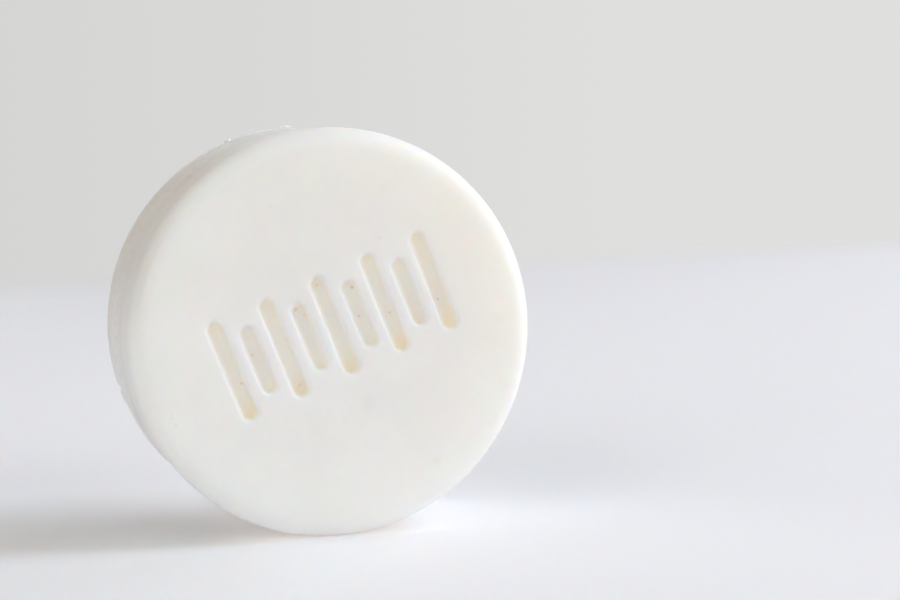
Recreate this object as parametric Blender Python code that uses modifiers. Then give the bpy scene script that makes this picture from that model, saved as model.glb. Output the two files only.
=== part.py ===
"""Shaving soap puck: one cast block of soap that stands on its edge, with loose crumbs and grains on it.

Frame: metres, +Z up. The origin is in the middle of the footprint, on the surface that the puck stands on.
The puck's axis runs along Y. Its recessed front face looks towards -Y and its cast back looks towards +Y.

Everything is modelled in the puck's own frame, the empty named puck_frame: x to the right, y up and z out of
the front face, with the middle of the puck at its origin.
"""

import math
import random

import bmesh
import bpy
from mathutils import Matrix, Vector

MM = 0.001

# The cast block, from front to back
THICKNESS = 29.0 * MM
FRONT_RADIUS = 35.0 * MM
BACK_RADIUS = 35.15 * MM  # the wall opens a little towards the back, so that the block leaves its mould
RIM_ROUNDING = 3.3 * MM
LIP_RADIUS = 35.3 * MM  # the thin lip left round the back, at the open side of the mould
LIP_WIDTH = 1.2 * MM
LIP_RISE = 0.3 * MM
LIP_EDGE = 0.25 * MM
TURN_STEPS = 96
ROUNDING_STEPS = 6

# The worn flat along the bottom that the puck stands on, and the height of the puck's axis over it
FLAT_DEPTH = 0.2 * MM
AXIS_HEIGHT = FRONT_RADIUS - FLAT_DEPTH

# The recessed band on the front face: parallel round-ended grooves, long and short in turn
BAND_X = -0.5 * MM
BAND_Y = 1.7 * MM
BAND_TILT = math.radians(22.4)
BAND_LENGTH = 41.0 * MM
GROOVE_COUNT = 9
GROOVE_WIDTH = 3.2 * MM
GROOVE_FLOOR_WIDTH = 2.4 * MM
GROOVE_DEPTH = 1.1 * MM
LONG_GROOVE = 17.7 * MM
SHORT_GROOVE = 12.0 * MM
GROOVE_PITCH = (BAND_LENGTH - GROOVE_WIDTH) / (GROOVE_COUNT - 1)
GROOVE_SEGMENTS = 24

# Damage to the back lip: a flat knife cut, and chips as (angle in degrees, length along the lip,
# bite into it, reach in front of the back)
KNIFE_CUT_ANGLE = 213.5
KNIFE_CUT_RADIUS = 34.62 * MM
KNIFE_CUT_WIDTH = 4.2 * MM
LIP_CHIPS = (
    (198.6, 1.8 * MM, 0.55 * MM, 4.0 * MM),
    (64.0, 2.6 * MM, 0.40 * MM, 0.8 * MM),
    (331.0, 3.4 * MM, 0.45 * MM, 0.9 * MM),
)

# Crumbs that cling to the lip: (angle in degrees, distance in front of the back, size out, along, across)
RIM_CRUMBS = (
    (112.2, 1.0 * MM, 0.6 * MM, 1.2 * MM, 0.9 * MM),
    (114.2, 2.6 * MM, 0.4 * MM, 0.5 * MM, 1.2 * MM),
    (95.2, 1.1 * MM, 0.5 * MM, 2.7 * MM, 0.9 * MM),
)

# Grains caught on the groove floors: (groove number from the left, place along it, place across it, size)
RESIDUE_GRAINS = (
    (0, -2.6 * MM, 0.6 * MM, 0.45 * MM),
    (1, 1.1 * MM, -0.6 * MM, 0.55 * MM),
    (2, -7.0 * MM, 0.1 * MM, 0.50 * MM),
    (3, 5.0 * MM, -0.3 * MM, 0.60 * MM),
    (3, 3.6 * MM, 0.7 * MM, 0.40 * MM),
    (4, 7.4 * MM, -0.2 * MM, 0.50 * MM),
    (5, 4.6 * MM, 0.6 * MM, 0.45 * MM),
    (5, -0.4 * MM, -0.1 * MM, 0.50 * MM),
    (6, -2.0 * MM, 0.3 * MM, 0.40 * MM),
    (8, -3.4 * MM, -0.4 * MM, 0.45 * MM),
)

# Clearance that keeps each loose piece off the block, and how far a cutter runs past what it cuts
PIECE_GAP = 0.3 * MM
CUTTER_OVERRUN = 1.0 * MM
ROUGHNESS_OF_CRUMBS = 0.14
ROUGHNESS_OF_GRAINS = 0.18

SOAP_COLOUR = (0.82, 0.79, 0.74, 1.0)
RESIDUE_COLOUR = (0.46, 0.24, 0.10, 1.0)


def clear_scene():
    for old in list(bpy.data.objects):
        bpy.data.objects.remove(old)


def new_collection(name):
    collection = bpy.data.collections.new(name)
    bpy.context.scene.collection.children.link(collection)
    return collection


def principled(name, colour, roughness, subsurface=0.0):
    material = bpy.data.materials.new(name)
    material.use_nodes = True
    shader = material.node_tree.nodes["Principled BSDF"]
    shader.inputs["Base Color"].default_value = colour
    shader.inputs["Roughness"].default_value = roughness
    shader.inputs["Metallic"].default_value = 0.0
    shader.inputs["Subsurface Weight"].default_value = subsurface
    return material


def new_frame(collection):
    """The puck's own frame: its z points out of the front face and its y points up."""
    frame = bpy.data.objects.new("puck_frame", None)
    frame.location = (0.0, 0.0, AXIS_HEIGHT)
    frame.rotation_euler = (math.radians(90.0), 0.0, 0.0)
    collection.objects.link(frame)
    return frame


def mesh_object(name, shape, collection, frame, material=None):
    mesh = bpy.data.meshes.new(name)
    shape.to_mesh(mesh)
    shape.free()
    made = bpy.data.objects.new(name, mesh)
    made.parent = frame
    collection.objects.link(made)
    if material:
        mesh.materials.append(material)
    return made


def as_cutter(made):
    made.hide_render = True
    made.display_type = "WIRE"
    return made


def around(angle, radius, z):
    """The point of the puck's frame at this angle and radius, counted anticlockwise from the right."""
    return Vector((radius * math.cos(angle), radius * math.sin(angle), z))


def block_profile():
    """Half of the block's section as (radius, z), from the middle of the front to the middle of the back."""
    front = THICKNESS / 2
    back = -THICKNESS / 2
    points = [(0.0, front)]
    for step in range(ROUNDING_STEPS + 1):
        angle = math.radians(90.0 * (1.0 - step / ROUNDING_STEPS))
        radius = FRONT_RADIUS - RIM_ROUNDING + RIM_ROUNDING * math.cos(angle)
        points.append((radius, front - RIM_ROUNDING + RIM_ROUNDING * math.sin(angle)))
    points.append((BACK_RADIUS, back + LIP_WIDTH + LIP_RISE))
    points.append((LIP_RADIUS, back + LIP_WIDTH))
    points.append((LIP_RADIUS, back + LIP_EDGE))
    points.append((LIP_RADIUS - LIP_EDGE, back))
    points.append((0.0, back))
    return points


def make_block(collection, frame, material):
    """The cast block before anything is cut from it: its section turned about the puck's axis."""
    shape = bmesh.new()
    corners = [shape.verts.new((radius, 0.0, z)) for radius, z in block_profile()]
    for start, end in zip(corners, corners[1:]):
        shape.edges.new((start, end))
    block = mesh_object("soap_body", shape, collection, frame, material)
    turn = block.modifiers.new("turn", "SCREW")
    turn.steps = TURN_STEPS
    turn.render_steps = TURN_STEPS
    turn.use_merge_vertices = True
    turn.merge_threshold = 0.00001
    turn.use_smooth_shade = True
    return block


def groove_places():
    """(middle of the groove in the front face's plane, its length) for each groove, from the left."""
    places = []
    for number in range(GROOVE_COUNT):
        offset = GROOVE_PITCH * (number - (GROOVE_COUNT - 1) / 2)
        middle = Vector((BAND_X + offset * math.cos(BAND_TILT), BAND_Y + offset * math.sin(BAND_TILT)))
        places.append((middle, SHORT_GROOVE if number % 2 else LONG_GROOVE))
    return places


def cut_groove(number, middle, length, collection, frame):
    """A round-ended groove with sloping walls: a cone's two halves moved apart along the groove."""
    slope = (GROOVE_WIDTH - GROOVE_FLOOR_WIDTH) / 2 / GROOVE_DEPTH
    height = GROOVE_DEPTH + CUTTER_OVERRUN
    shape = bmesh.new()
    bmesh.ops.create_cone(
        shape,
        cap_ends=True,
        segments=GROOVE_SEGMENTS,
        radius1=GROOVE_FLOOR_WIDTH / 2,
        radius2=GROOVE_FLOOR_WIDTH / 2 + slope * height,
        depth=height,
        matrix=Matrix.Rotation(math.pi / GROOVE_SEGMENTS, 4, "Z"),
    )
    half_straight = (length - GROOVE_WIDTH) / 2
    for corner in shape.verts:
        corner.co.y += math.copysign(half_straight, corner.co.y)
    cutter = as_cutter(mesh_object(f"groove_cutter_{number + 1}", shape, collection, frame))
    cutter.location = (middle.x, middle.y, THICKNESS / 2 - GROOVE_DEPTH + height / 2)
    cutter.rotation_euler = (0.0, 0.0, BAND_TILT)


def cut_resting_flat(collection, frame):
    """A box below the resting surface, longer and wider than the puck."""
    size = 2 * LIP_RADIUS
    shape = bmesh.new()
    bmesh.ops.create_cube(shape, size=size)
    cutter = as_cutter(mesh_object("resting_flat_cutter", shape, collection, frame))
    cutter.location = (0.0, -AXIS_HEIGHT - size / 2, 0.0)


def cut_with_knife(collection, frame):
    """A box that trims the back lip to a flat along a short stretch."""
    angle = math.radians(KNIFE_CUT_ANGLE)
    size = LIP_RADIUS
    shape = bmesh.new()
    bmesh.ops.create_cube(shape, size=size)
    cutter = as_cutter(mesh_object("knife_cutter", shape, collection, frame))
    cutter.location = around(angle, KNIFE_CUT_RADIUS + size / 2, KNIFE_CUT_WIDTH - (THICKNESS + size) / 2)
    cutter.rotation_euler = (0.0, 0.0, angle)


def cut_chip(number, degrees, length, bite, reach, collection, frame):
    """An egg-shaped bite out of the lip's back edge."""
    angle = math.radians(degrees)
    shape = bmesh.new()
    bmesh.ops.create_icosphere(shape, subdivisions=2, radius=1.0)
    bmesh.ops.scale(shape, vec=(2 * bite, length / 2, reach), verts=shape.verts)
    cutter = as_cutter(mesh_object(f"chip_cutter_{number + 1}", shape, collection, frame))
    cutter.location = around(angle, LIP_RADIUS + bite, -THICKNESS / 2)
    cutter.rotation_euler = (0.0, 0.0, angle)


def make_nugget(name, size, unevenness, collection, frame, material):
    """A small uneven lump of this size, the same on each run."""
    dice = random.Random(name)
    shape = bmesh.new()
    bmesh.ops.create_icosphere(shape, subdivisions=1, radius=0.5)
    for corner in shape.verts:
        corner.co *= 1.0 - dice.uniform(0.0, unevenness)
    bmesh.ops.scale(shape, vec=size, verts=shape.verts)
    return mesh_object(name, shape, collection, frame, material)


def make_rim_crumb(number, degrees, from_back, size, collection, frame, material):
    angle = math.radians(degrees)
    crumb = make_nugget(f"rim_crumb_{number + 1}", size, ROUGHNESS_OF_CRUMBS, collection, frame, material)
    crumb.location = around(angle, LIP_RADIUS + PIECE_GAP + size[0] / 2, from_back - THICKNESS / 2)
    crumb.rotation_euler = (0.0, 0.0, angle)


def make_residue_grain(number, middle, along, across, size, collection, frame, material):
    name = f"residue_grain_{number + 1}"
    grain = make_nugget(name, (size, size, size), ROUGHNESS_OF_GRAINS, collection, frame, material)
    offset = Matrix.Rotation(BAND_TILT, 2) @ Vector((across, along))
    floor = THICKNESS / 2 - GROOVE_DEPTH
    grain.location = (middle.x + offset.x, middle.y + offset.y, floor + PIECE_GAP + size / 2)


def main():
    clear_scene()
    parts = new_collection("shaving_soap_puck")
    cutters = new_collection("puck_cutters")
    frame = new_frame(parts)
    soap = principled("soap", SOAP_COLOUR, 0.45, subsurface=0.3)
    residue = principled("residue", RESIDUE_COLOUR, 0.8)

    block = make_block(parts, frame, soap)
    grooves = groove_places()
    for number, (middle, length) in enumerate(grooves):
        cut_groove(number, middle, length, cutters, frame)
    cut_resting_flat(cutters, frame)
    cut_with_knife(cutters, frame)
    for number, (degrees, length, bite, reach) in enumerate(LIP_CHIPS):
        cut_chip(number, degrees, length, bite, reach, cutters, frame)
    cut = block.modifiers.new("cuts", "BOOLEAN")
    cut.operation = "DIFFERENCE"
    cut.operand_type = "COLLECTION"
    cut.collection = cutters
    cut.solver = "EXACT"

    for number, (degrees, from_back, *size) in enumerate(RIM_CRUMBS):
        make_rim_crumb(number, degrees, from_back, size, parts, frame, soap)
    for number, (groove, along, across, size) in enumerate(RESIDUE_GRAINS):
        make_residue_grain(number, grooves[groove][0], along, across, size, parts, frame, residue)


main()
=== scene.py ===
"""The looks of the shaving soap puck: a white cast puck standing on its edge on a pale table.

Lengths are in metres. The puck's own coordinates are x to the right, y up and z out of the front face,
from the puck's middle. to_world turns them into the frame's, where the front face looks towards -Y.
"""

import math
import random

import bmesh
import bpy
from mathutils import Matrix, Vector, geometry, noise


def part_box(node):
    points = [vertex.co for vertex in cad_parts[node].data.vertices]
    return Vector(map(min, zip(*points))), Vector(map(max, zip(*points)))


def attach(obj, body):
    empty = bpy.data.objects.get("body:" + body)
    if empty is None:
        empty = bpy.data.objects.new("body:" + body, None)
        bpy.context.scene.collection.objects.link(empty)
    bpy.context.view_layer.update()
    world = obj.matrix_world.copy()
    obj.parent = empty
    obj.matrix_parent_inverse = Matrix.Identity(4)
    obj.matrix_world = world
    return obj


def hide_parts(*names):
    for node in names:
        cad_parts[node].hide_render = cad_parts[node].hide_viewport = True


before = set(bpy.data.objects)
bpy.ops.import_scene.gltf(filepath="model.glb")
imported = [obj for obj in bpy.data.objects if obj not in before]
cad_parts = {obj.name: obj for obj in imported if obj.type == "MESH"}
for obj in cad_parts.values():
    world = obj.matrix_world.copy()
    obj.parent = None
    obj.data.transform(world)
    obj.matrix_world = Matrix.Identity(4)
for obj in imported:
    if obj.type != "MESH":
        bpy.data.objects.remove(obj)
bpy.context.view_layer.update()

MM = 0.001

# The block's size, from the frame, and its rounded rim and back lip, as in the CAD
SOAP_LOW, SOAP_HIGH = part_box("soap_body")
THICKNESS = SOAP_HIGH.y - SOAP_LOW.y
LIP_RADIUS = (SOAP_HIGH.x - SOAP_LOW.x) / 2
AXIS_HEIGHT = SOAP_HIGH.z - LIP_RADIUS
FRONT_RADIUS = 35.0 * MM
BACK_RADIUS = 35.15 * MM
RIM_ROUNDING = 3.3 * MM
LIP_WIDTH = 1.2 * MM
LIP_SLOPE = 0.3 * MM
BACK_EDGE = 0.25 * MM

# The flat knife cut along the lower left of the back edge: the way it faces, how far out it lies, its width,
# and the burr in front of it
KNIFE_CUT_ANGLE = math.radians(213.5)
KNIFE_CUT_RADIUS = 34.62 * MM
KNIFE_CUT_WIDTH = 4.2 * MM
BURR_HEIGHT = 0.20 * MM
BURR_WIDTH = 0.35 * MM

# Chips out of the back lip: (angle in degrees, length along it, bite into it, reach in front of the back)
LIP_CHIPS = (
    (198.6, 1.8 * MM, 0.55 * MM, 4.0 * MM),
    (64.0, 2.6 * MM, 0.40 * MM, 0.8 * MM),
    (331.0, 3.4 * MM, 0.45 * MM, 0.9 * MM),
)

# Nothing further than this from the back is cut, chipped or worn. Wear takes up to this share of the lip's
# height, none of it and all of it at these distances from the back
DEEPEST_DAMAGE = 6.5 * MM
LIP_WEAR = 0.6
LIP_WEAR_REACH = (1.8 * MM, 0.9 * MM)

# The stretch of lip at the top that stands out and carries a painted highlight: the angles in degrees where
# it begins, is whole, begins to fade and ends, where it fades in front of the back, and how far it stands out
HIGHLIT_LIP_ANGLES = (92.0, 96.0, 106.0, 110.0)
HIGHLIT_LIP_REACH = (2.4 * MM, 1.6 * MM)
HIGHLIT_LIP_RISE = 0.20 * MM

# The recessed band of grooves on the front face. GROOVE_WIDTH is the width half way down
BAND_MIDDLE = Vector((-0.5 * MM, 1.7 * MM))
BAND_TILT = math.radians(22.4)
BAND_LENGTH = 41.0 * MM
GROOVE_COUNT = 9
GROOVE_WIDTH = 2.6 * MM
GROOVE_MOUTH = 3.2 * MM
GROOVE_DEPTH = 1.1 * MM
GROOVE_DRAFT = math.radians(25.0)
GROOVE_SHOULDER = 0.8 * MM
GROOVE_FILLET = 0.6 * MM
LONG_GROOVE = 17.7 * MM
SHORT_GROOVE = 12.0 * MM
GROOVE_PITCH = (BAND_LENGTH - GROOVE_MOUTH) / (GROOVE_COUNT - 1)

# The faint line round the wall, the radii between which it appears, and where the cast surface behind it
# turns rough, from the back
SEAM_FROM_BACK = 17.0 * MM
SEAM_WIDTH = 2.2 * MM
SEAM_DEPTH = 0.05 * MM
SEAM_RADII = (34.0 * MM, 34.8 * MM)
ROUGH_FROM_BACK = 18.0 * MM

# A surface counts as flat face, and not as wall, by how far its normal points along the puck's axis
FACING_LIMITS = (0.2, 0.9)

# How uneven the surface is: (height, size of the bumps, seed, octaves). The rough marks on the wall are long
# along the puck's axis, and the strokes on the back are long sideways: that axis is squeezed by this much
CAST_SWELL = (0.022 * MM, 11.0 * MM, 1.0, 2)
FACE_RIPPLE = (0.008 * MM, 1.7 * MM, 3.0, 2)
WALL_RIPPLE = (0.012 * MM, 3.0 * MM, 5.0, 3)
WALL_DRAG = (0.05 * MM, 1.3 * MM, 7.0, 3)
FLOOR_RIPPLE = (0.035 * MM, 1.6 * MM, 19.0, 3)
BACK_STROKES = (0.05 * MM, 2.2 * MM, 12.0, 3)
DRAG_STRETCH = 0.55
STROKE_STRETCH = 0.35

# The back face is a little hollow, and the hollow levels out between these radii
BACK_HOLLOW = 0.16 * MM
HOLLOW_ENDS = (24.0 * MM, 33.5 * MM)

# Noise along the edge is worked out in millimetres, on a ring of this radius
RING_IN_MM = 35.0

# What is painted on the wall appears between these radii. Its tint, a painted shade that darkens the wall,
# ends below the top, between these heights above the puck's middle, and where the surface turns towards the
# face, by its normal
OUTER_RADII = (33.0 * MM, 34.0 * MM)
SIDE_SHADE_ENDS = (32.5 * MM, 27.0 * MM)
SIDE_SHADE_FACING = (0.05, 0.75)

# The painted shade on the wall's back part. Heights are above the puck's middle: where the shade begins and
# is full, and where the shaded edge and the fainter band beside it fade out. Then how far these two reach
# from the back
WALL_SHADE_BEGINS = (-8.0 * MM, -1.0 * MM)
WALL_SHADE_EDGE_ENDS = (28.0 * MM, 18.0 * MM)
WALL_SHADE_BAND_ENDS = (28.0 * MM, 24.0 * MM)
WALL_SHADE_EDGE_REACH = (2.4 * MM, 1.0 * MM)
WALL_SHADE_BAND_REACH = (7.0 * MM, 4.0 * MM)
WALL_SHADE_EDGE_LEAST = 0.15
WALL_SHADE_BAND_SHARE = 0.35

# The patch of painted shade on the left of the wall, across its whole depth
SHADE_PATCH_HEIGHT = 10.5 * MM
SHADE_PATCH_SPREAD = 7.0 * MM
SHADE_PATCH_SHARE = 0.40

# How much ochre tint goes on the groove floors, partly residue and partly painted shade in the recess:
# everywhere, at the lower ends, at the upper ends and in patches
OCHRE_LEAST = 0.15
OCHRE_LOWER = 0.60
OCHRE_UPPER = 0.4
OCHRE_PATCHES = 0.2

# The crumbs on the lip: (outwards, along, across), how far out of it their middles lie, as a share of the
# size outwards, and how lumpy they are
CRUMB_SIZES = (
    (0.80 * MM, 1.2 * MM, 0.9 * MM),
    (0.40 * MM, 0.45 * MM, 1.1 * MM),
    (0.65 * MM, 2.6 * MM, 0.9 * MM),
)
CRUMB_STANDOFF = 0.22
CRUMB_LUMPINESS = 0.35

# The grains in the grooves: how many, their least width and the steps up from it, and how lumpy they are
GRAIN_COUNT = 10
GRAIN_WIDTH = 0.38 * MM
GRAIN_STEP = 0.05 * MM
GRAIN_LUMPINESS = 0.4

# How finely the surface is divided
RING_POINTS = 840
FACE_SPACING = 0.9 * MM
GROOVE_SPACING = 0.45 * MM
RIM_STEPS = 12
WALL_ROWS = 46
LIP_ROWS = 7
EDGE_STEPS = 4
MARK_RINGS = 10

# Small marks: (x, y, radius, depth), where a negative depth stands out. They reach a little over their
# radius, look darker the deeper they are, and none lies further out than MARKED_RADIUS
MARK_REACH = 1.5
MARK_STAIN_DEPTH = 0.2 * MM
MARKED_RADIUS = 32.0 * MM
FACE_MARKS = (
    (5.2 * MM, -11.9 * MM, 1.7 * MM, 0.05 * MM),
    (17.4 * MM, -22.3 * MM, 1.1 * MM, 0.06 * MM),
    (7.1 * MM, 16.1 * MM, 0.5 * MM, 0.08 * MM),
    (-27.9 * MM, -12.6 * MM, 0.6 * MM, -0.20 * MM),
    (-27.7 * MM, -14.1 * MM, 0.35 * MM, 0.09 * MM),
    (-11.5 * MM, 22.0 * MM, 0.6 * MM, 0.05 * MM),
)
BACK_MARKS = (
    (9.0 * MM, 13.0 * MM, 1.0 * MM, 0.35 * MM),
    (-16.0 * MM, -6.0 * MM, 0.7 * MM, 0.30 * MM),
    (-4.0 * MM, 21.0 * MM, 0.5 * MM, 0.25 * MM),
    (19.0 * MM, -14.0 * MM, 0.6 * MM, 0.25 * MM),
    (-9.0 * MM, -24.0 * MM, 0.9 * MM, 0.30 * MM),
)

# The soap's tones. A pair is for low on the puck and for high up, with the change between these heights over
# the
# table: low down the tone is lighter and cooler, painted light bounced up from the table. The wall's tint, a
# painted shade, only covers the tone under it by half
BOUNCE_LIGHT_HEIGHTS = (-5.0 * MM, 75.0 * MM)
SOAP_DARKER = ((0.898, 0.902, 0.879, 1.0), (0.874, 0.866, 0.823, 1.0))
SOAP_LIGHTER = ((0.918, 0.921, 0.897, 1.0), (0.894, 0.885, 0.841, 1.0))
# Painted shade on the wall: darker, cool low down and warm higher up
SIDE_SHADE_HEIGHTS = (AXIS_HEIGHT - 2.0 * MM, AXIS_HEIGHT + 18.0 * MM)
SIDE_SHADE_TINT = ((0.755, 0.785, 0.81, 1.0), (0.765, 0.72, 0.64, 1.0))
SIDE_SHADE_SHARE = 0.5
MOTTLE_TONE = (0.72, 0.69, 0.645, 1.0)
# Painted shade at the wall's back edge and in a patch on its left
WALL_SHADE_TONE = (0.68, 0.67, 0.64, 1.0)
STAIN_TONE = (0.74, 0.68, 0.62, 1.0)
# Ochre on the groove floors, partly residue and partly painted shade in the recess
OCHRE_AND_SHADE_TONE = (0.93, 0.85, 0.66, 1.0)
# Painted highlight on the lip at the top and on the burr
LIP_HIGHLIGHT_TONE = (0.97, 0.97, 0.96, 1.0)

# The tones of the small lumps: the two that each one's patches go between
CRUMB_TONES = ((0.90, 0.89, 0.87, 1.0), (0.95, 0.945, 0.935, 1.0))
RESIDUE_TONES = ((0.85, 0.68, 0.52, 1.0), (0.93, 0.83, 0.70, 1.0))

# The noise value is near the middle nearly everywhere, so patches of two tones go from one to the other here
PATCH_LIMITS = (0.35, 0.65)

# The camera looks at the front face from the left of its normal and from a little above it. It aims to the
# right of the face's middle and above it. The lens is in millimetres
VIEW_LEFT = math.radians(14.0)
VIEW_ABOVE = math.radians(6.1)
VIEW_DISTANCE = 0.2876
VIEW_BACK = Vector((-math.sin(VIEW_LEFT) * math.cos(VIEW_ABOVE), -math.cos(VIEW_LEFT) * math.cos(VIEW_ABOVE),
                    math.sin(VIEW_ABOVE)))
VIEW_ACROSS = Vector((math.cos(VIEW_LEFT), -math.sin(VIEW_LEFT), 0.0))
VIEW_UP = VIEW_BACK.cross(VIEW_ACROSS)
FACE_MIDDLE = Vector((0.0, -THICKNESS / 2, AXIS_HEIGHT))
CAMERA_PLACE = FACE_MIDDLE + VIEW_BACK * VIEW_DISTANCE
AIM_RIGHT = 18.9 * MM
AIM_UP = 5.84 * MM
LENS = 68.0
SENSOR_WIDTH = 36.0

# The table: its tones, painted lighter on the left and darker on the right as painted light and shade, and
# between which X they change; a point on its far edge, the way that edge runs and the way beyond it; its half
# width, its depth, and how far it goes on beyond the edge
TABLE_LEFT = (0.95, 0.95, 0.955, 1.0)
TABLE_RIGHT = (0.87, 0.87, 0.875, 1.0)
TABLE_SIDES = (-0.07, 0.05)
TABLE_EDGE = Vector((-0.026, 0.569, 0.0))
TABLE_ALONG = Vector((0.947, 0.321, 0.0))
TABLE_BEYOND = Vector((-0.321, 0.947, 0.0))
TABLE_HALF_WIDTH = 3.0
TABLE_DEPTH = 4.0
TABLE_MARGIN = 0.08

# Between these distances beyond its far edge, the table melts into the wall
EDGE_BLUR = (-0.10, 0.07)

# The painted glow on the paper under the puck, which stands in for light that comes through the soap, and
# where it fades along X and Y
PAINTED_GLOW_TONE = (1.0, 0.89, 0.87, 1.0)
PAINTED_GLOW_STRENGTH = 0.24
PAINTED_GLOW_FADES = (("X", 3.0 * MM, 24.0 * MM), ("Y", 0.40 * THICKNESS, 0.56 * THICKNESS))

# The far wall's tones and how far across the view they change, the rest of the room, and where one becomes
# the other, as the cosine of the angle from straight ahead
WALL_LEFT = (0.665, 0.662, 0.658, 1.0)
WALL_RIGHT = (0.745, 0.741, 0.735, 1.0)
WALL_SIDES = (-0.27, 0.27)
ROOM_TONE = (0.04, 0.04, 0.04, 1.0)
ROOM_LIMITS = (0.1, 0.9)

# The lamps: (name, azimuth from +X, height, size, power, colour), with both angles in degrees
LAMP_DISTANCE = 2.6
LAMPS = (
    ("window_back", 22.0, 28.0, 0.9, 13.5, (0.92, 0.89, 1.0)),
    ("window_low", -10.0, 12.0, 0.9, 11.0, (1.0, 1.0, 0.97)),
    ("window_high", -10.0, 50.0, 0.9, 27.0, (0.79, 0.87, 1.0)),
    ("window_front", -35.0, 28.0, 0.9, 13.6, (1.0, 0.89, 0.89)),
    ("room_front", -65.0, 30.0, 1.5, 12.0, (0.92, 1.0, 0.96)),
    ("room_left", -140.0, 30.0, 1.5, 18.3, (1.0, 0.97, 0.97)),
    ("room_side", 180.0, 25.0, 1.5, 9.2, (1.0, 0.90, 0.80)),
)


def to_world(point):
    """A place in the puck's own coordinates, as the frame has it."""
    return Vector((point[0], -point[2], AXIS_HEIGHT + point[1]))


def turned(vector, angle):
    """A flat vector turned anticlockwise."""
    return Matrix.Rotation(angle, 2) @ vector


def smooth_step(value, start, end):
    """0 at the start, 1 at the end, and smooth in between. The start may be the greater of the two."""
    share = min(max((value - start) / (end - start), 0.0), 1.0)
    return share * share * (3.0 - 2.0 * share)


def rumble(point, size, seed=0.0, octaves=3):
    """Smooth noise from about -1 to 1, with bumps of this size."""
    spot = Vector(point) / size + Vector((seed, -1.7 * seed, 0.6 * seed))
    return sum(noise.noise(spot * 2.0**octave) / 2.0**octave for octave in range(octaves)) / 1.4


def uneven(point, kind):
    """The height here of one kind of unevenness."""
    height, size, seed, octaves = kind
    return height * rumble(point, size, seed, octaves)


def distance_from_back(point):
    """How far this place lies in front of the back face."""
    return point.z + THICKNESS / 2


def ring_direction(angle):
    """Outwards at this angle, in the puck's own coordinates."""
    return Vector((math.cos(angle), math.sin(angle), 0.0))


# ---------------------------------------------------------------- the soap's surface

def groove_section():
    """(distance from the groove's middle line, depth) from the middle of its floor out to the face."""
    steps = 6
    floor_shares = (0.0, 0.25, 0.5, 0.75)
    wall_shares = (0.33, 0.67)
    turn = math.pi / 2 - GROOVE_DRAFT
    shallow = GROOVE_SHOULDER * (1.0 - math.sin(GROOVE_DRAFT))
    deep = GROOVE_DEPTH - GROOVE_FILLET * (1.0 - math.sin(GROOVE_DRAFT))

    def wall(depth):
        return GROOVE_WIDTH / 2 + math.tan(GROOVE_DRAFT) * (GROOVE_DEPTH / 2 - depth)

    fillet_middle = wall(deep) - GROOVE_FILLET * math.cos(GROOVE_DRAFT)
    shoulder_middle = wall(shallow) + GROOVE_SHOULDER * math.cos(GROOVE_DRAFT)
    section = [(fillet_middle * share, GROOVE_DEPTH) for share in floor_shares]
    for step in range(steps + 1):
        angle = turn * step / steps
        section.append((fillet_middle + GROOVE_FILLET * math.sin(angle),
                        GROOVE_DEPTH - GROOVE_FILLET * (1.0 - math.cos(angle))))
    for share in wall_shares:
        depth = deep + (shallow - deep) * share
        section.append((wall(depth), depth))
    for step in range(steps + 1):
        angle = turn * (1.0 - step / steps)
        section.append((shoulder_middle - GROOVE_SHOULDER * math.sin(angle),
                        GROOVE_SHOULDER * (1.0 - math.cos(angle))))
    return section


def groove_places():
    """(middle, half of the straight part) for each groove, from the left."""
    places = []
    for number in range(GROOVE_COUNT):
        offset = Vector((GROOVE_PITCH * (number - (GROOVE_COUNT - 1) / 2), 0.0))
        length = SHORT_GROOVE if number % 2 else LONG_GROOVE
        places.append((BAND_MIDDLE + turned(offset, BAND_TILT), (length - GROOVE_WIDTH) / 2))
    return places


def groove_outline(half_straight):
    """(point on the middle line, direction outwards) anticlockwise round a groove."""
    side_steps = round(2 * half_straight / GROOVE_SPACING)
    arc_steps = 16
    outline = []
    for start, side in ((0.0, -1.0), (math.pi, 1.0)):
        out = Vector((math.cos(start), 0.0))
        for step in range(side_steps):
            y = half_straight * side * (1.0 - 2.0 * step / side_steps)
            outline.append((Vector((0.0, y)), out))
        for step in range(arc_steps):
            angle = start + math.pi * step / arc_steps
            direction = Vector((math.cos(angle), math.sin(angle)))
            outline.append((Vector((0.0, -half_straight * side)), direction))
    return outline


def distance_to_groove(point, middle, half_straight):
    """How far this place is from the groove's middle line."""
    local = turned(point - middle, -BAND_TILT)
    local.y -= min(max(local.y, -half_straight), half_straight)
    return local.length


def join_rings(faces, first, rings, count):
    """Faces between each closed ring of corners and the next one."""
    for ring in range(rings - 1):
        for step in range(count):
            after = (step + 1) % count
            inner = first + ring * count
            outer = inner + count
            faces.append((inner + step, outer + step, outer + after, inner + after))


def add_grooves(corners, faces):
    """The grooves' own surfaces. Returns the outline where each meets the face."""
    section = groove_section()
    mouths = []
    for middle, half_straight in groove_places():
        outline = groove_outline(half_straight)
        first = len(corners)
        for reach, depth in section:
            for base, out in outline:
                spot = middle + turned(base + out * reach, BAND_TILT)
                corners.append(Vector((spot.x, spot.y, THICKNESS / 2 - depth)))
        join_rings(faces, first, len(section), len(outline))
        mouths.append(corners[-len(outline):])
    return mouths


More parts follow.
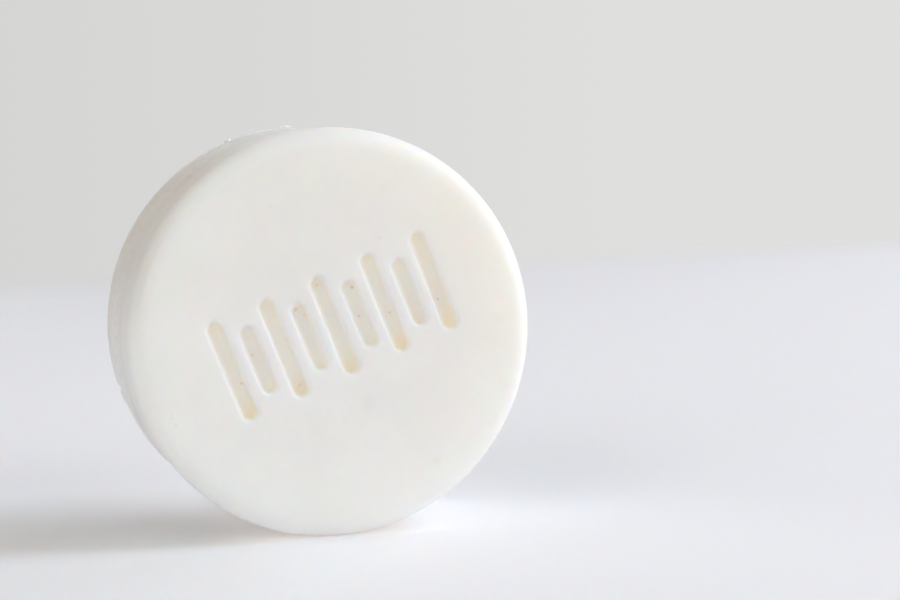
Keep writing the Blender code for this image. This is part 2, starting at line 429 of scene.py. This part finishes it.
def add_flat(corners, faces, ring, holes, marks, keep_out, front):
    """A flat disc inside the ring, with the holes left open, finer round each mark."""
    seed = 11
    rim_gap = 0.6
    row_height = 0.866
    jitter = 0.2
    clear_of_mark = 1.6
    closest = 1e-9
    z = ring[0].z
    points = [Vector((corner.x, corner.y)) for corner in ring]
    edges = [(step, (step + 1) % len(ring)) for step in range(len(ring))]
    for hole in holes:
        first = len(points)
        points += [Vector((corner.x, corner.y)) for corner in hole]
        edges += [(first + step, first + (step + 1) % len(hole)) for step in range(len(hole))]
    limit = points[0].length - rim_gap * FACE_SPACING
    dice = random.Random(seed)
    rows = int(limit / FACE_SPACING) + 1
    for row in range(-rows, rows + 1):
        for column in range(-rows, rows + 1):
            spot = Vector((column + 0.5 * (row % 2), row * row_height)) * FACE_SPACING
            spot += Vector((dice.uniform(-jitter, jitter), dice.uniform(-jitter, jitter))) * FACE_SPACING
            near_mark = any((spot - Vector((x, y))).length < clear_of_mark * size for x, y, size, _ in marks)
            if spot.length < limit and not keep_out(spot) and not near_mark:
                points.append(spot)
    for x, y, size, _ in marks:
        for ring_number in range(1, MARK_RINGS + 1):
            reach = MARK_REACH * size * ring_number / MARK_RINGS
            for step in range(6 * ring_number):
                angle = 2 * math.pi * (step + 0.5 * (ring_number % 2)) / (6 * ring_number)
                points.append(Vector((x + reach * math.cos(angle), y + reach * math.sin(angle))))
    spots, _, triangles, *_ = geometry.delaunay_2d_cdt(points, edges, [], 0, closest)
    first = len(corners)
    corners.extend(Vector((spot.x, spot.y, z)) for spot in spots)
    for triangle in triangles:
        middle = sum((spots[corner] for corner in triangle), Vector((0.0, 0.0))) / 3
        if not keep_out(middle, exact=True):
            order = triangle if front else reversed(triangle)
            faces.append(tuple(first + corner for corner in order))


def block_section():
    """(radius, z) from the rim of the front face over the wall and the lip to the rim of the back."""
    front = THICKNESS / 2
    back = -THICKNESS / 2
    lip_rise_ends = 0.45
    section = []
    for step in range(RIM_STEPS + 1):
        angle = math.pi / 2 * (1.0 - step / RIM_STEPS)
        section.append((FRONT_RADIUS - RIM_ROUNDING + RIM_ROUNDING * math.cos(angle),
                        front - RIM_ROUNDING + RIM_ROUNDING * math.sin(angle)))
    wall_top = front - RIM_ROUNDING
    wall_foot = back + LIP_WIDTH + LIP_SLOPE
    for row in range(1, WALL_ROWS + 1):
        # The rows lie closer together towards the back, where the surface is rougher
        share = row / WALL_ROWS
        share = share * (1.6 - 0.6 * share)
        section.append((FRONT_RADIUS + (BACK_RADIUS - FRONT_RADIUS) * share,
                        wall_top + (wall_foot - wall_top) * share))
    for row in range(1, LIP_ROWS + 1):
        share = row / LIP_ROWS
        rise = smooth_step(share, 0.0, lip_rise_ends)
        section.append((BACK_RADIUS + (LIP_RADIUS - BACK_RADIUS) * rise,
                        wall_foot + (back + BACK_EDGE - wall_foot) * share))
    for step in range(1, EDGE_STEPS + 1):
        angle = math.pi / 2 * step / EDGE_STEPS
        section.append((LIP_RADIUS - BACK_EDGE + BACK_EDGE * math.cos(angle),
                        back + BACK_EDGE - BACK_EDGE * math.sin(angle)))
    for reach in (0.4 * MM, 1.0 * MM, 1.8 * MM):
        section.append((LIP_RADIUS - BACK_EDGE - reach, back))
    return section


def add_rim_and_wall(corners, faces):
    """The turned surface between the two flat faces. Returns its first and last rings."""
    section = block_section()
    first = len(corners)
    for radius, z in section:
        for step in range(RING_POINTS):
            angle = 2 * math.pi * step / RING_POINTS
            corners.append(Vector((radius * math.cos(angle), radius * math.sin(angle), z)))
    join_rings(faces, first, len(section), RING_POINTS)
    return corners[first:first + RING_POINTS], corners[-RING_POINTS:]


def mark_relief(x, y, marks):
    """How far the marks push the surface in at this place on a flat face."""
    pushed = 0.0
    for mark_x, mark_y, size, depth in marks:
        away = math.hypot(x - mark_x, y - mark_y) / size
        if away < MARK_REACH:
            pushed += depth * (1.0 - smooth_step(away, 0.2, 1.2))
    return pushed


def lip_loss(angle):
    """How worn the lip is at this angle, from 0 to 1."""
    ring = ring_direction(angle) * RING_IN_MM
    ragged = 0.5 + 0.5 * rumble(ring, 2.6, seed=4.0, octaves=4)
    patchy = smooth_step(rumble(ring, 14.0, seed=9.0, octaves=2), -0.1, 0.5)
    return min(1.0, 0.35 * ragged + 0.55 * patchy * ragged)


def worn_radius(radius, angle, from_back):
    """The radius here after uneven wear of the lip."""
    root = BACK_RADIUS - BACK_EDGE
    if radius > root:
        radius -= (radius - root) * LIP_WEAR * lip_loss(angle) * smooth_step(from_back, *LIP_WEAR_REACH)
    return radius


def knifed_radius(radius, angle, from_back):
    """The radius here after the flat knife cut, and on the burr in front of it."""
    along = (angle * RING_IN_MM, 0.0, 0.0)
    width = KNIFE_CUT_WIDTH * (1.0 + 0.12 * rumble(along, 3.0, seed=2.0))
    cut_radius = KNIFE_CUT_RADIUS + 0.05 * MM * rumble(along, 1.2, seed=6.0)
    cut_radius /= max(math.cos(angle - KNIFE_CUT_ANGLE), 0.5)
    if cut_radius < LIP_RADIUS:
        if from_back < width:
            radius = min(radius, cut_radius)
        beside = (from_back - width - 0.5 * BURR_WIDTH) / BURR_WIDTH
        burr = BURR_HEIGHT * smooth_step(LIP_RADIUS - cut_radius, 0.0, 0.2 * MM)
        radius += burr * math.exp(-beside * beside)
    return radius


def chipped(point):
    """Where this place ends up after the chips out of the lip: each is a rough-floored hollow."""
    for degrees, length, bite, reach in LIP_CHIPS:
        out = ring_direction(math.radians(degrees))
        local = point - out * (LIP_RADIUS + bite) + Vector((0.0, 0.0, THICKNESS / 2))
        along = local.dot(Vector((-out.y, out.x, 0.0))) / (length / 2)
        inside = 1.0 - along * along - (local.z / reach)**2
        if inside > 0.0:
            rough = 1.0 + 0.15 * rumble((along, local.z / reach, degrees), 0.5)
            floor = -2 * bite * math.sqrt(inside) * rough
            point -= out * max(0.0, local.dot(out) - floor)
    return point


def trim_back(point):
    """Wears the lip unevenly, and cuts it with the knife cut and the chips."""
    from_back = distance_from_back(point)
    if from_back > DEEPEST_DAMAGE:
        return point
    angle = math.atan2(point.y, point.x)
    radius = worn_radius(math.hypot(point.x, point.y), angle, from_back)
    radius = knifed_radius(radius, angle, from_back)
    return chipped(Vector((radius * math.cos(angle), radius * math.sin(angle), point.z)))


def wall_roughness(point):
    """0 on the smooth front part of the wall, 1 on the rough rear part."""
    return smooth_step(distance_from_back(point), ROUGH_FROM_BACK, SEAM_FROM_BACK - SEAM_WIDTH)


def highlit_lip(point):
    """1 on the stretch of lip at the top that stands out and is painted bright: a painted highlight, with no
    mottle or painted shade.
    """
    begins, whole, fades, ends = HIGHLIT_LIP_ANGLES
    angle = math.degrees(math.atan2(point.y, point.x))
    along = smooth_step(angle, begins, whole) * smooth_step(angle, ends, fades)
    return along * smooth_step(distance_from_back(point), *HIGHLIT_LIP_REACH)


def burr_highlight(point):
    """1 along the burr that the knife left in front of its cut, which is painted bright as a painted
    highlight.
    """
    away = math.cos(math.atan2(point.y, point.x) - KNIFE_CUT_ANGLE)
    if KNIFE_CUT_RADIUS > away * LIP_RADIUS:
        return 0.0
    beside = (distance_from_back(point) - KNIFE_CUT_WIDTH - 0.5 * BURR_WIDTH) / (2 * BURR_WIDTH)
    return math.exp(-beside * beside)


def seam_share(point):
    """1 on the faint line round the wall, with breaks in it."""
    around = (point.x, point.y, 0.0)
    wander = 0.5 * MM * rumble(around, 9.0 * MM, seed=15.0, octaves=2)
    beside = (distance_from_back(point) - SEAM_FROM_BACK - wander) / SEAM_WIDTH
    strength = 0.65 + 0.5 * rumble(around, 5.0 * MM, seed=17.0, octaves=2)
    outer = smooth_step(math.hypot(point.x, point.y), *SEAM_RADII)
    return outer * min(max(strength, 0.0), 1.0) * math.exp(-beside * beside)


def relief(point, normal):
    """How far the finished surface stands out of the plain one here, apart from the lip's damage."""
    front_share = smooth_step(normal.z, *FACING_LIMITS)
    back_share = smooth_step(-normal.z, *FACING_LIMITS)
    wall_share = max(0.0, 1.0 - front_share - back_share)
    floor_share = smooth_step(THICKNESS / 2 - point.z, 0.8 * GROOVE_DEPTH, GROOVE_DEPTH)
    drag = (point.x, point.y, point.z * DRAG_STRETCH)
    strokes = (point.x * STROKE_STRETCH, point.y, 0.0)
    lift = uneven(point, CAST_SWELL)
    lift += front_share * uneven(point, FACE_RIPPLE)
    lift += front_share * floor_share * uneven(point, FLOOR_RIPPLE)
    lift += wall_share * uneven(point, WALL_RIPPLE)
    lift += wall_share * wall_roughness(point) * uneven(drag, WALL_DRAG)
    lift -= wall_share * SEAM_DEPTH * seam_share(point)
    lift += wall_share * HIGHLIT_LIP_RISE * highlit_lip(point)
    lift += back_share * uneven(strokes, BACK_STROKES)
    if front_share > 0.9:
        lift -= mark_relief(point.x, point.y, FACE_MARKS)
    if back_share > 0.9:
        lift -= mark_relief(point.x, point.y, BACK_MARKS)
        lift -= BACK_HOLLOW * (1.0 - smooth_step(math.hypot(point.x, point.y), *HOLLOW_ENDS))
    return lift


def groove_ochre_and_shade(point):
    """Ochre on the grooves, partly residue and partly painted shade in the recess: 0 on the face, up to 1 on
    a groove's floor, strongest towards its lower end.
    """
    depth = (THICKNESS / 2 - point.z) / GROOVE_DEPTH
    if not 0.05 < depth < 1.5 or math.hypot(point.x, point.y) > FRONT_RADIUS - RIM_ROUNDING:
        return 0.0
    along = turned(Vector((point.x, point.y)) - BAND_MIDDLE, -BAND_TILT).y
    lower = smooth_step(-along, 0.2 * LONG_GROOVE, 0.5 * LONG_GROOVE)
    upper = smooth_step(along, 0.3 * LONG_GROOVE, 0.5 * LONG_GROOVE)
    patch = 0.5 + 0.5 * rumble(point, 3.0 * MM, seed=8.0, octaves=2)
    ochre = OCHRE_LEAST + OCHRE_LOWER * lower + OCHRE_UPPER * upper * patch + OCHRE_PATCHES * patch
    return smooth_step(depth, 0.35, 1.0) * ochre


def wall_shade_share(point):
    """How much painted shade darkens the wall here: at its back edge, and most in a patch on the upper left.
    """
    from_back = distance_from_back(point)
    raised = smooth_step(point.y, *WALL_SHADE_BEGINS)
    edge = smooth_step(from_back, *WALL_SHADE_EDGE_REACH)
    edge *= WALL_SHADE_EDGE_LEAST + (1.0 - WALL_SHADE_EDGE_LEAST) * raised * smooth_step(point.y, *WALL_SHADE_EDGE_ENDS)
    drag = (point.x, point.y, point.z * DRAG_STRETCH)
    band = WALL_SHADE_BAND_SHARE * (1.0 + 0.5 * rumble(drag, 1.6 * MM, seed=21.0))
    band *= smooth_step(from_back, *WALL_SHADE_BAND_REACH) * raised * smooth_step(point.y, *WALL_SHADE_BAND_ENDS)
    patch = 0.0
    if point.x < 0.0:
        patch = SHADE_PATCH_SHARE * math.exp(-((point.y - SHADE_PATCH_HEIGHT) / SHADE_PATCH_SPREAD)**2)
    return min(1.0, max(edge, patch + (1.0 - patch) * band))


def shading(point):
    """How much darker it is here: on the line round the wall and on small marks."""
    marks = FACE_MARKS if point.z > 0 else BACK_MARKS
    stain = 0.0
    if math.hypot(point.x, point.y) < MARKED_RADIUS:
        stain = max(0.0, mark_relief(point.x, point.y, marks)) / MARK_STAIN_DEPTH
    return min(1.0, 0.5 * seam_share(point) + 0.5 * stain)


def painted(place, normal):
    """How much of each tone the soap's material mixes in at this place on the plain surface, from 0 to 1.
    Some are painted shade and painted highlight.
    """
    highlit = max(highlit_lip(place), burr_highlight(place))
    outer = smooth_step(math.hypot(place.x, place.y), *OUTER_RADII)
    below_top = smooth_step(place.y, *SIDE_SHADE_ENDS)
    upright = 1.0 - smooth_step(abs(normal.z), *SIDE_SHADE_FACING)
    return {
        # Ochre and painted shade on the groove floors
        "ochre_and_shade": groove_ochre_and_shade(place),
        "rough": wall_roughness(place) * (1.0 - highlit) * (0.3 + 0.7 * outer),
        "shade": shading(place),
        # Painted shade on the wall, none at the top or where it turns towards the face
        "wall": outer * below_top * upright * (1.0 - highlit),
        # Painted shade at the wall's back edge and in a patch on its left
        "wall_shade": outer * wall_shade_share(place) * (1.0 - highlit),
        # Painted highlight on the lip at the top and on the burr
        "lip_highlight": outer * highlit,
    }


def make_plain_soap():
    """The corners and faces of the soap, before its surface is made uneven."""
    corners, faces = [], []
    mouths = add_grooves(corners, faces)
    front_ring, back_ring = add_rim_and_wall(corners, faces)
    grooves = groove_places()
    mouth = groove_section()[-1][0]

    def on_groove(spot, exact=False):
        reach = mouth * 0.999 if exact else mouth + 0.45 * FACE_SPACING
        return any(distance_to_groove(spot, middle, half) < reach for middle, half in grooves)

    def nowhere(spot, exact=False):
        return False

    add_flat(corners, faces, front_ring, mouths, FACE_MARKS, on_groove, True)
    add_flat(corners, faces, back_ring, [], BACK_MARKS, nowhere, False)
    return corners, faces


def make_soap():
    """The soap, with what is painted on it stored at its corners."""
    corners, faces = make_plain_soap()
    mesh = bpy.data.meshes.new("soap")
    mesh.from_pydata(corners, [], faces)
    shape = bmesh.new()
    shape.from_mesh(mesh)
    bmesh.ops.remove_doubles(shape, verts=shape.verts, dist=0.002 * MM)
    bmesh.ops.recalc_face_normals(shape, faces=shape.faces)
    shape.normal_update()
    plain = [(corner.co.copy(), corner.normal.copy()) for corner in shape.verts]
    for corner, (place, normal) in zip(shape.verts, plain):
        world = to_world(trim_back(place + normal * relief(place, normal)))
        world.z = max(world.z, 0.0)
        corner.co = world
    bmesh.ops.recalc_face_normals(shape, faces=shape.faces)
    shape.to_mesh(mesh)
    shape.free()
    mesh.shade_smooth()
    paint = [painted(place, normal) for place, normal in plain]
    for name in paint[0]:
        attribute = mesh.attributes.new(name, "FLOAT", "POINT")
        attribute.data.foreach_set("value", [values[name] for values in paint])
    soap = bpy.data.objects.new("soap", mesh)
    bpy.context.scene.collection.objects.link(soap)
    return soap


# ---------------------------------------------------------------- materials

def new_material(name):
    material = bpy.data.materials.new(name)
    material.use_nodes = True
    tree = material.node_tree
    return material, tree, tree.nodes["Principled BSDF"]


def add_node(tree, kind, **settings):
    node = tree.nodes.new(kind)
    for name, value in settings.items():
        setattr(node, name, value)
    return node


def place_on_object(tree):
    """The place in the object's own coordinates, which are the frame's."""
    return add_node(tree, "ShaderNodeTexCoord").outputs["Object"]


def painted_value(tree, name):
    """What is stored under this name at the mesh's corners."""
    return add_node(tree, "ShaderNodeAttribute", attribute_name=name).outputs["Fac"]


def axes_of(tree, place):
    """The X, Y and Z of this place."""
    node = add_node(tree, "ShaderNodeSeparateXYZ")
    tree.links.new(place, node.inputs["Vector"])
    return node.outputs


def vector_maths(tree, operation, place, constant):
    """A vector joined with a constant one."""
    node = add_node(tree, "ShaderNodeVectorMath", operation=operation)
    tree.links.new(place, node.inputs[0])
    node.inputs[1].default_value = constant
    return node.outputs["Value" if operation == "DOT_PRODUCT" else "Vector"]


def noise_node(tree, place, size, detail=3.0):
    """Soft noise from 0 to 1, with bumps of about this size."""
    node = add_node(tree, "ShaderNodeTexNoise")
    node.inputs["Scale"].default_value = 1.0 / size
    node.inputs["Detail"].default_value = detail
    tree.links.new(place, node.inputs["Vector"])
    return node.outputs["Fac"]


def mix_colours(tree, share, first, second):
    """The first colour where the share is 0 and the second where it is 1."""
    node = add_node(tree, "ShaderNodeMix", data_type="RGBA")
    tree.links.new(share, node.inputs["Factor"])
    for socket, colour in ((node.inputs[6], first), (node.inputs[7], second)):
        if isinstance(colour, tuple):
            socket.default_value = colour
        else:
            tree.links.new(colour, socket)
    return node.outputs[2]


def map_range(tree, value, limits, to_low=0.0, to_high=1.0):
    """A smooth step from one value at the first limit to another at the second."""
    low, high = limits
    node = add_node(tree, "ShaderNodeMapRange", interpolation_type="SMOOTHSTEP")
    tree.links.new(value, node.inputs["Value"])
    for name, number in (("From Min", low), ("From Max", high), ("To Min", to_low), ("To Max", to_high)):
        node.inputs[name].default_value = number
    return node.outputs["Result"]


def multiply(tree, first, second):
    """Either one may be a plain number."""
    node = add_node(tree, "ShaderNodeMath", operation="MULTIPLY")
    for socket, value in zip(node.inputs, (first, second)):
        if isinstance(value, (int, float)):
            socket.default_value = value
        else:
            tree.links.new(value, socket)
    return node.outputs[0]


def bump_node(tree, height, strength, distance, normal=None):
    """Bumps in the shading, over those that the normal already has. The strength may be a plain number."""
    node = add_node(tree, "ShaderNodeBump")
    node.inputs["Distance"].default_value = distance
    tree.links.new(height, node.inputs["Height"])
    if isinstance(strength, (int, float)):
        node.inputs["Strength"].default_value = strength
    else:
        tree.links.new(strength, node.inputs["Strength"])
    if normal:
        tree.links.new(normal, node.inputs["Normal"])
    return node.outputs["Normal"]


def soap_colour(tree, place):
    """The soap's two pale tones in soft clouds, lighter and cooler low down as painted bounce light, with
    everything that is painted on it mixed over them.
    """
    # Painted bounce light: the tones are lighter and cooler low down, near the table
    height = map_range(tree, axes_of(tree, place)["Z"], BOUNCE_LIGHT_HEIGHTS)
    clouds = map_range(tree, noise_node(tree, place, 14.0 * MM, detail=2.0), PATCH_LIMITS)
    darker = mix_colours(tree, height, *SOAP_DARKER)
    lighter = mix_colours(tree, height, *SOAP_LIGHTER)
    body = mix_colours(tree, clouds, darker, lighter)
    drag = vector_maths(tree, "MULTIPLY", place, (1.0, DRAG_STRETCH, 1.0))
    mottle = map_range(tree, noise_node(tree, drag, 1.1 * MM, detail=5.0), (0.44, 0.74), 0.0, 0.9)
    raised = map_range(tree, axes_of(tree, place)["Z"], SIDE_SHADE_HEIGHTS)
    tint = mix_colours(tree, raised, *SIDE_SHADE_TINT)
    for share, tone in (
        (multiply(tree, mottle, painted_value(tree, "rough")), MOTTLE_TONE),
        # The wall's painted shade
        (multiply(tree, painted_value(tree, "wall"), SIDE_SHADE_SHARE), tint),
        # Painted shade at the wall's back edge and in a patch
        (painted_value(tree, "wall_shade"), WALL_SHADE_TONE),
        (painted_value(tree, "shade"), STAIN_TONE),
        # Ochre on the groove floors, partly painted shade
        (painted_value(tree, "ochre_and_shade"), OCHRE_AND_SHADE_TONE),
        # Painted highlight on the lip and the burr
        (painted_value(tree, "lip_highlight"), LIP_HIGHLIGHT_TONE),
    ):
        body = mix_colours(tree, share, body, tone)
    return body


def soap_bumps(tree, place):
    """A fine grain all over, and a coarser one where the wall is rough."""
    fine = bump_node(tree, noise_node(tree, place, 0.5 * MM, detail=4.0), 0.08, 0.05 * MM)
    pitted = noise_node(tree, place, 0.9 * MM, detail=4.0)
    strength = multiply(tree, painted_value(tree, "rough"), 0.5)
    return bump_node(tree, pitted, strength, 0.08 * MM, fine)


def make_soap_material():
    material, tree, shader = new_material("white_soap")
    place = place_on_object(tree)
    satin = map_range(tree, noise_node(tree, place, 3.0 * MM), (0.3, 0.7), 0.44, 0.56)
    tree.links.new(soap_colour(tree, place), shader.inputs["Base Color"])
    tree.links.new(satin, shader.inputs["Roughness"])
    tree.links.new(soap_bumps(tree, place), shader.inputs["Normal"])
    shader.inputs["Subsurface Weight"].default_value = 0.6
    shader.inputs["Subsurface Radius"].default_value = (1.0, 0.65, 0.38)
    shader.inputs["Subsurface Scale"].default_value = 14.0 * MM
    shader.inputs["Specular IOR Level"].default_value = 0.25
    shader.inputs["IOR"].default_value = 1.45
    return material


def make_lump_material(name, tones, patch_size, bump_size, bump_strength, bump_height, roughness, depth):
    """Slightly translucent stuff with patches of two tones. The depth is how far light gets into it."""
    material, tree, shader = new_material(name)
    place = place_on_object(tree)
    patches = map_range(tree, noise_node(tree, place, patch_size, detail=2.0), PATCH_LIMITS)
    bumps = bump_node(tree, noise_node(tree, place, bump_size), bump_strength, bump_height)
    tree.links.new(mix_colours(tree, patches, *tones), shader.inputs["Base Color"])
    tree.links.new(bumps, shader.inputs["Normal"])
    shader.inputs["Roughness"].default_value = roughness
    shader.inputs["Subsurface Weight"].default_value = 0.4
    shader.inputs["Subsurface Scale"].default_value = depth
    return material


def make_crumb_material():
    return make_lump_material(
        "white_crumb", CRUMB_TONES, patch_size=0.4 * MM, bump_size=0.15 * MM, bump_strength=0.3,
        bump_height=0.03 * MM, roughness=0.4, depth=0.4 * MM)


def make_residue_material():
    return make_lump_material(
        "brown_residue", RESIDUE_TONES, patch_size=0.2 * MM, bump_size=0.08 * MM, bump_strength=0.4,
        bump_height=0.02 * MM, roughness=0.6, depth=0.3 * MM)


# ---------------------------------------------------------------- loose crumbs and grains

def make_nugget(name, middle, size, angle, lumpiness, material, node):
    """A small uneven lump, with its size given outwards, along and across at this angle in radians."""
    shape = bmesh.new()
    bmesh.ops.create_icosphere(shape, subdivisions=4, radius=0.5)
    seed = float(len(name) + ord(name[-1]))
    turn = Matrix.Rotation(angle, 3, "Z")
    for corner in shape.verts:
        corner.co *= 1.0 + lumpiness * rumble(corner.co, 0.35, seed)
        local = Vector((corner.co.x * size[0], corner.co.y * size[1], corner.co.z * size[2]))
        corner.co = to_world(middle + turn @ local)
    mesh = bpy.data.meshes.new(name)
    shape.to_mesh(mesh)
    shape.free()
    mesh.shade_smooth()
    mesh.materials.append(material)
    made = bpy.data.objects.new(name, mesh)
    bpy.context.scene.collection.objects.link(made)
    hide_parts(node)
    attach(made, "root")


def middle_of(node):
    """The middle of a CAD node in the puck's own coordinates."""
    low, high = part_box(node)
    middle = (low + high) / 2
    return Vector((middle.x, middle.z - AXIS_HEIGHT, -middle.y))


def make_crumbs(material):
    """The crumbs lie at the same angles as in CAD, but sink into the lip a little."""
    for number, size in enumerate(CRUMB_SIZES, 1):
        node = f"rim_crumb_{number}"
        middle = middle_of(node)
        angle = math.atan2(middle.y, middle.x)
        out = ring_direction(angle)
        middle -= out * (math.hypot(middle.x, middle.y) - LIP_RADIUS - CRUMB_STANDOFF * size[0])
        make_nugget(f"clinging_crumb_{number}", middle, size, angle, CRUMB_LUMPINESS, material,
                    node)


def make_grains(material):
    """The grains lie where they are in CAD, but sink into the groove floors a little."""
    floor = THICKNESS / 2 - GROOVE_DEPTH
    for number in range(1, GRAIN_COUNT + 1):
        node = f"residue_grain_{number}"
        middle = middle_of(node)
        width = GRAIN_WIDTH + GRAIN_STEP * (number % 4)
        size = (width, width, 0.8 * width)
        middle.z = floor + 0.25 * width
        make_nugget(f"residue_speck_{number}", middle, size, number, GRAIN_LUMPINESS, material,
                    node)


# ---------------------------------------------------------------- stage, light and camera

def wall_tone(tree, direction):
    """The far wall's colour by the direction it is looked at in, as the camera's place sees it."""
    across = vector_maths(tree, "DOT_PRODUCT", direction, VIEW_ACROSS)
    return mix_colours(tree, map_range(tree, across, WALL_SIDES), WALL_LEFT, WALL_RIGHT)


def painted_glow_under_soap(tree, place):
    """The painted glow on the paper under the puck: strongest where they touch, and gone where it is in the
    open.
    """
    axes = axes_of(tree, place)
    glow = PAINTED_GLOW_STRENGTH
    for axis, near, far in PAINTED_GLOW_FADES:
        away = add_node(tree, "ShaderNodeMath", operation="ABSOLUTE")
        tree.links.new(axes[axis], away.inputs[0])
        glow = multiply(tree, map_range(tree, away.outputs[0], (near, far), 1.0, 0.0), glow)
    return glow


def make_table_material():
    """Pale paper with painted light and shade and a painted glow under the puck. Its far edge melts into the
    wall, as it does out of focus.
    """
    material, tree, shader = new_material("pale_table")
    place = add_node(tree, "ShaderNodeNewGeometry").outputs["Position"]
    # Painted light and shade: the paper is lighter on the left and darker on the right
    side = map_range(tree, axes_of(tree, place)["X"], TABLE_SIDES)
    tree.links.new(mix_colours(tree, side, TABLE_LEFT, TABLE_RIGHT), shader.inputs["Base Color"])
    # A painted glow under the puck, made with emission
    tree.links.new(painted_glow_under_soap(tree, place), shader.inputs["Emission Strength"])
    shader.inputs["Emission Color"].default_value = PAINTED_GLOW_TONE
    shader.inputs["Roughness"].default_value = 0.6
    shader.inputs["Specular IOR Level"].default_value = 0.25
    shader.inputs["Subsurface Weight"].default_value = 1.0
    shader.inputs["Subsurface Radius"].default_value = (1.0, 0.85, 0.75)
    shader.inputs["Subsurface Scale"].default_value = 8.0 * MM

    from_edge = vector_maths(tree, "SUBTRACT", place, TABLE_EDGE)
    beyond = vector_maths(tree, "DOT_PRODUCT", from_edge, TABLE_BEYOND)
    ray = vector_maths(tree, "SUBTRACT", place, CAMERA_PLACE)
    direction = add_node(tree, "ShaderNodeVectorMath", operation="NORMALIZE")
    tree.links.new(ray, direction.inputs[0])
    wall = add_node(tree, "ShaderNodeEmission")
    tree.links.new(wall_tone(tree, direction.outputs["Vector"]), wall.inputs["Color"])
    blend = add_node(tree, "ShaderNodeMixShader")
    tree.links.new(map_range(tree, beyond, EDGE_BLUR), blend.inputs["Fac"])
    tree.links.new(shader.outputs["BSDF"], blend.inputs[1])
    tree.links.new(wall.outputs["Emission"], blend.inputs[2])
    tree.links.new(blend.outputs["Shader"], tree.nodes["Material Output"].inputs["Surface"])
    return material


def make_table():
    """A table whose far edge runs slightly away to the right."""
    far = TABLE_EDGE + TABLE_BEYOND * TABLE_MARGIN
    near = far - TABLE_BEYOND * TABLE_DEPTH
    aside = TABLE_ALONG * TABLE_HALF_WIDTH
    mesh = bpy.data.meshes.new("table")
    mesh.from_pydata([near - aside, near + aside, far + aside, far - aside], [], [(0, 1, 2, 3)])
    mesh.materials.append(make_table_material())
    table = bpy.data.objects.new("table", mesh)
    bpy.context.scene.collection.objects.link(table)


def make_world():
    """A dim room with a pale wall where the camera looks."""
    world = bpy.data.worlds.new("soft_room")
    world.use_nodes = True
    tree = world.node_tree
    direction = add_node(tree, "ShaderNodeTexCoord").outputs["Generated"]
    ahead = (math.sin(VIEW_LEFT), math.cos(VIEW_LEFT), 0.0)
    facing = vector_maths(tree, "DOT_PRODUCT", direction, ahead)
    tone = mix_colours(tree, map_range(tree, facing, ROOM_LIMITS), ROOM_TONE, wall_tone(tree, direction))
    tree.links.new(tone, tree.nodes["Background"].inputs["Color"])
    bpy.context.scene.world = world


def add_area(name, place, size, power, colour):
    """A square lamp that faces the puck."""
    light = bpy.data.lights.new(name, "AREA")
    light.shape = "SQUARE"
    light.size = size
    light.energy = power
    light.color = colour
    made = bpy.data.objects.new(name, light)
    made.location = place
    made.rotation_mode = "QUATERNION"
    made.rotation_quaternion = (-place).to_track_quat("-Z", "Y")
    bpy.context.scene.collection.objects.link(made)


def make_lights():
    for name, azimuth, height, size, power, colour in LAMPS:
        azimuth, height = math.radians(azimuth), math.radians(height)
        direction = Vector((math.cos(azimuth) * math.cos(height), math.sin(azimuth) * math.cos(height),
                            math.sin(height)))
        add_area(name, direction * LAMP_DISTANCE, size, power, colour)


def make_camera():
    """In front of the puck's face, to its left and a little above."""
    aim = FACE_MIDDLE + VIEW_ACROSS * AIM_RIGHT + VIEW_UP * AIM_UP
    data = bpy.data.cameras.new("camera")
    data.lens = LENS
    data.sensor_width = SENSOR_WIDTH
    data.clip_start = 0.01
    camera = bpy.data.objects.new("camera", data)
    camera.location = CAMERA_PLACE
    camera.rotation_mode = "QUATERNION"
    camera.rotation_quaternion = (aim - CAMERA_PLACE).to_track_quat("-Z", "Y")
    bpy.context.scene.collection.objects.link(camera)
    bpy.context.scene.camera = camera


def main():
    make_camera()
    make_world()
    make_lights()
    make_table()
    soap_material = make_soap_material()
    soap = make_soap()
    soap.data.materials.append(soap_material)
    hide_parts("soap_body")
    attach(soap, "root")
    make_crumbs(make_crumb_material())
    make_grains(make_residue_material())
    bpy.context.scene.view_settings.view_transform = "Standard"


main()
